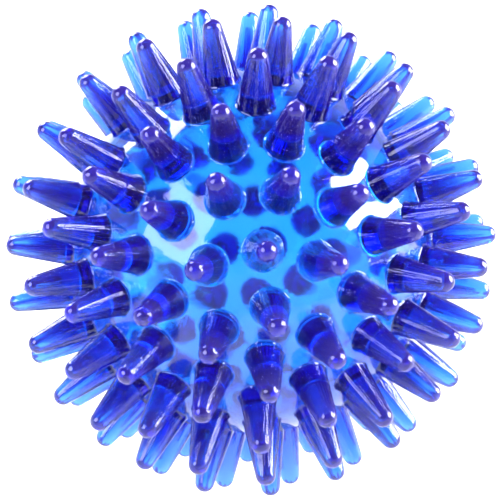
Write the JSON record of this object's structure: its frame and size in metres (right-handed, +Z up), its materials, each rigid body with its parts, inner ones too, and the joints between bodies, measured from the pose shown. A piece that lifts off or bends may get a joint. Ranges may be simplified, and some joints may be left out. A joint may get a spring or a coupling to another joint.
{
  "type": "massage ball",
  "caption": "Hollow hand-held massage ball of clear blue PVC, covered all over with rows of solid round-tipped spikes, with a push-in air valve stopper.",
  "frame": {"origin": "centre of the ball", "axes": "+Y along the moulding axis from the front pole spike to the rear pole spike, +Z up through the floor contact, +X to the right"},
  "size_m": [0.0892, 0.09, 0.089],
  "materials": {
    "shell_pvc": "clear tinted glossy soft PVC",
    "spike_pvc": "clear tinted glossy soft PVC, deeper in the thick spikes",
    "valve_pvc": "clear tinted glossy soft PVC",
    "stopper_pvc": "semi-clear glossy PVC"
  },
  "bodies": {
    "ball": {"front_shell": "shell_pvc", "rear_shell": "shell_pvc", "front_pole_spike": "spike_pvc", "rear_pole_spike": "spike_pvc", "front_spikes_ring_1": "spike_pvc", "front_spikes_ring_2": "spike_pvc", "front_spikes_ring_3": "spike_pvc", "front_spikes_ring_4": "spike_pvc", "front_spikes_ring_5": "spike_pvc", "rear_spikes_ring_1": "spike_pvc", "rear_spikes_ring_2": "spike_pvc", "rear_spikes_ring_3": "spike_pvc", "rear_spikes_ring_4": "spike_pvc", "rear_spikes_ring_5": "spike_pvc", "valve_boss": "valve_pvc"},
    "stopper": {"valve_stopper": "stopper_pvc"}
  },
  "joints": [
    {"name": "stopper_pull", "type": "slide", "parent": "ball", "child": "stopper", "axis": [-0.8392, 0.5432, -0.0264], "range_m": [0, 0.012]}
  ]
}
